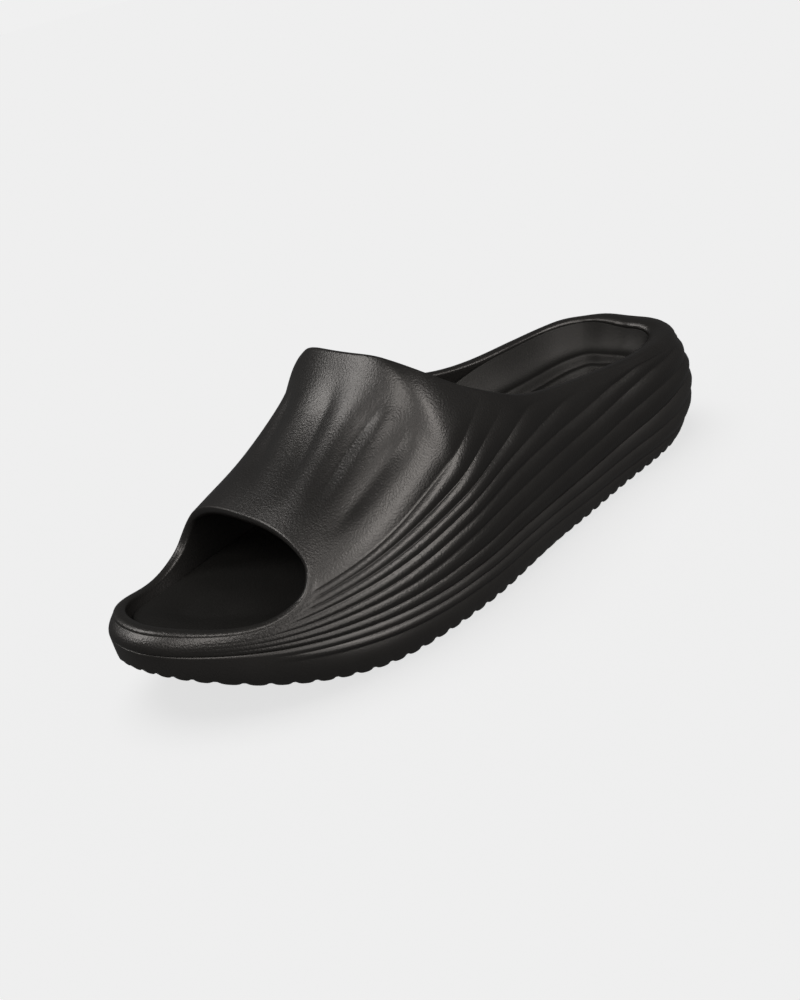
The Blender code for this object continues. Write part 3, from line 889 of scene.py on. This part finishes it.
# %% [markdown]
# ## The footbed
# Inside, the foot lies in a dish. Round the heel its edge climbs the wall as a bowl up to the collar
# and comes down in terraces. The rows run from the edge to a line down the middle, so the terraces
# follow the outline. At the heel that line bends softly into one point, so that the rows fan out
# without a crease.

# %% Build the footbed
BED_GAP = 0.1 * MM
BED_COLUMNS = 150
BED_ROWS = 70
BED_CROWD = 1.25
BED_SIDE_ROWS = 4
SPINE = (0.15, 0.84)
SPINE_BEND = 0.10
BOWL = (0.50, 0.24)
BOWL_BELOW = 0.3 * MM
BOWL_DROP = 0.58
BOWL_REACH_MM = 8.5
# Share of the way down, and where the step starts and ends in millimetres from the wall
TERRACES = (
    (0.20, 10.0, 12.5),
    (0.22, 14.5, 18.5),
)
TERRACES_END_MM = TERRACES[-1][2]
TERRACE_FADE = (0.62, 0.48)


def collar_height(t, side):
    """Height of the collar's edge up to the last row below the ridge."""
    rows = COLLAR_RIM[:-1]
    return through([row[0] for row in rows], [row[rim_column(side)] * MM for row in rows])(t)


def bed_edge_height(t, side):
    """Height of the footbed's edge: a low lip under the vamp, a bowl up to the collar at the heel."""
    lip = part_height(t) + bed_height(t) + bed_lip(t)
    return lip + (collar_height(t, side) - BOWL_BELOW - lip) * ramp(t, *BOWL)


def bed_edge(q, side, height):
    """Points just inside the wall, which changes in thickness on its way up to the collar."""
    t = station(q)
    climb = (height - part_height(t)) / (collar_height(t, side) - part_height(t))
    angle = dome_angle(t, side, height)
    wall = WALL_FOOT + (collar_wall(t, side) - WALL_FOOT) * np.clip(climb, 0, 1) * ramp(t, *BOWL)
    return wall_inside(q, side, angle, wall + BED_GAP)


def bed_rows(q, side):
    """Rows of the footbed's top from the wall to the middle line."""
    t = station(q)
    edge = bed_edge(q, side, bed_edge_height(t, side))
    spine_t = np.minimum((t + SPINE[0] + np.hypot(t - SPINE[0], SPINE_BEND)) / 2, SPINE[1])
    spine = np.stack([LENGTH * (0.5 - spine_t), shift(spine_t) - MIDDLE], axis=-1)
    reach_mm = np.maximum(np.linalg.norm(spine - edge[:, :2], axis=1) / MM, TERRACES_END_MM)
    rows = []
    for share in np.linspace(0, 1, BED_ROWS + 1) ** BED_CROWD:
        plan = edge[:, :2] + (spine - edge[:, :2]) * share
        point_t = 0.5 - plan[:, 0] / LENGTH
        run = reach_mm * share
        bowl = BOWL_DROP * (1 - (1 - np.clip(run / BOWL_REACH_MM, 0, 1)) ** 2)
        stepped = bowl + sum(part * ramp(run, start, end) for part, start, end in TERRACES)
        plain = ramp(run, 0, TERRACES_END_MM)
        drop = plain + (stepped - plain) * ramp(t, *TERRACE_FADE)
        low = part_height(point_t) + bed_height(point_t)
        height = edge[:, 2] + (low - edge[:, 2]) * drop
        rows.append(np.concatenate([plan, height[:, None]], axis=1))
    return np.array(rows)


bed_q = np.linspace(0, 1, BED_COLUMNS + 1)
bed_sheets = []
bed_floors = []
for side in (OUTER, INNER):
    top = bed_rows(bed_q, side)
    foot = bed_edge(bed_q, side, part_height(station(bed_q)))
    bed_sheets.append(laid_grid(top))
    bed_sheets.append(laid_grid(across(top[0], foot, BED_SIDE_ROWS)))
    bed_floors.append(foot)
bed_sheets.append(laid_grid(across(*bed_floors, FLAT_ROWS)))
footbed = welded("terraced_footbed", bed_sheets)

# %% [markdown]
# ## Grain of the foam
# The foam has a fine leather-like grain. One group makes it for all three pieces: small cells with a
# little noise for the grain itself, and a slow noise that makes colour and gloss uneven.

# %% Grain group
GRAIN_PER_METRE = 1350
MOTTLE_PER_METRE = 55
CELL_SOFTNESS = 0.6
CELL_HEIGHT = -0.7


def grain_group():
    """Height of the grain and a slow mottle, both from a place on the piece."""
    group = bpy.data.node_groups.new("foam_grain", "ShaderNodeTree")
    group.interface.new_socket("Vector", in_out="INPUT", socket_type="NodeSocketVector")
    group.interface.new_socket("Scale", in_out="INPUT", socket_type="NodeSocketFloat")
    group.interface.new_socket("Height", in_out="OUTPUT", socket_type="NodeSocketFloat")
    group.interface.new_socket("Mottle", in_out="OUTPUT", socket_type="NodeSocketFloat")
    nodes = group.nodes
    links = group.links
    given = nodes.new("NodeGroupInput")
    made = nodes.new("NodeGroupOutput")
    cells = nodes.new("ShaderNodeTexVoronoi")
    cells.feature = "SMOOTH_F1"
    cells.inputs["Smoothness"].default_value = CELL_SOFTNESS
    fine = nodes.new("ShaderNodeTexNoise")
    fine.inputs["Detail"].default_value = 3
    slow = nodes.new("ShaderNodeTexNoise")
    slow.inputs["Scale"].default_value = MOTTLE_PER_METRE
    slow.inputs["Detail"].default_value = 4
    mix = nodes.new("ShaderNodeMath")
    mix.operation = "MULTIPLY_ADD"
    mix.inputs[1].default_value = CELL_HEIGHT
    for texture in (cells, fine, slow):
        links.new(given.outputs["Vector"], texture.inputs["Vector"])
    for texture in (cells, fine):
        links.new(given.outputs["Scale"], texture.inputs["Scale"])
    links.new(cells.outputs["Distance"], mix.inputs[0])
    links.new(fine.outputs["Fac"], mix.inputs[2])
    links.new(mix.outputs["Value"], made.inputs["Height"])
    links.new(slow.outputs["Fac"], made.inputs["Mottle"])
    return group


foam_grain = grain_group()
print("grain cells: %.2f mm" % (1 / GRAIN_PER_METRE / MM))

# %% [markdown]
# ## Three foams
# All three pieces are black. The upper has a satin gloss. The sole is a little lighter and smoother, and
# its lighter colour is painted reflection of the pale floor. The footbed is matt, and its darker colour is
# painted shade of the shoe's inside. A warm tint in the shine keeps the black from looking blue.

# %% Materials
GRAIN_HEIGHT = 0.16 * MM
WARM = (1.0, 0.94, 0.89, 1)


def foam(name, dark, light, roughness, bump, shine):
    """A foam that runs between two colours; roughness is its least and most."""
    material = bpy.data.materials.new(name)
    material.use_nodes = True
    nodes = material.node_tree.nodes
    links = material.node_tree.links
    shader = nodes["Principled BSDF"]
    where = nodes.new("ShaderNodeTexCoord")
    grain = nodes.new("ShaderNodeGroup")
    grain.node_tree = foam_grain
    grain.inputs["Scale"].default_value = GRAIN_PER_METRE
    colour = nodes.new("ShaderNodeMix")
    colour.data_type = "RGBA"
    colour.inputs["A"].default_value = (*dark, 1)
    colour.inputs["B"].default_value = (*light, 1)
    gloss = nodes.new("ShaderNodeMapRange")
    gloss.inputs["To Min"].default_value = roughness[0]
    gloss.inputs["To Max"].default_value = roughness[1]
    relief = nodes.new("ShaderNodeBump")
    relief.inputs["Strength"].default_value = bump
    relief.inputs["Distance"].default_value = GRAIN_HEIGHT
    links.new(where.outputs["Object"], grain.inputs["Vector"])
    links.new(grain.outputs["Mottle"], colour.inputs["Factor"])
    links.new(colour.outputs["Result"], shader.inputs["Base Color"])
    links.new(grain.outputs["Mottle"], gloss.inputs["Value"])
    links.new(gloss.outputs["Result"], shader.inputs["Roughness"])
    links.new(grain.outputs["Height"], relief.inputs["Height"])
    links.new(relief.outputs["Normal"], shader.inputs["Normal"])
    shader.inputs["Specular Tint"].default_value = WARM
    shader.inputs["Specular IOR Level"].default_value = shine
    return material


upper_satin = foam(
    "upper_satin",
    dark=(0.0080, 0.0074, 0.0070),
    light=(0.0115, 0.0108, 0.0100),
    roughness=(0.29, 0.38),
    bump=0.5,
    shine=0.5,
)
# The sole's lighter colour is painted reflection of the pale floor, which bounced light doesn't see.
sole_satin_painted_reflection = foam(
    "sole_satin_painted_reflection",
    dark=(0.0115, 0.0107, 0.0101),
    light=(0.0155, 0.0146, 0.0137),
    roughness=(0.32, 0.42),
    bump=0.25,
    shine=0.5,
)
# The footbed's darker colour is painted shade of the shoe's inside.
footbed_matt_painted_shade = foam(
    "footbed_matt_painted_shade",
    dark=(0.0045, 0.0043, 0.0038),
    light=(0.0065, 0.0062, 0.0056),
    roughness=(0.48, 0.60),
    bump=0.4,
    shine=0.28,
)
upper.data.materials.append(upper_satin)
sole.data.materials.append(sole_satin_painted_reflection)
footbed.data.materials.append(footbed_matt_painted_shade)
print("foams:", upper_satin.name, sole_satin_painted_reflection.name, footbed_matt_painted_shade.name)

# %% [markdown]
# ## Handing over
# Each piece stands for its solid and rides on the one body.

# %% Ride and replace
for piece, node in ((upper, "upper"), (sole, "sole"), (footbed, "footbed")):
    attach(piece, "root")
    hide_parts(node)
    shoe_lit.objects.link(piece)
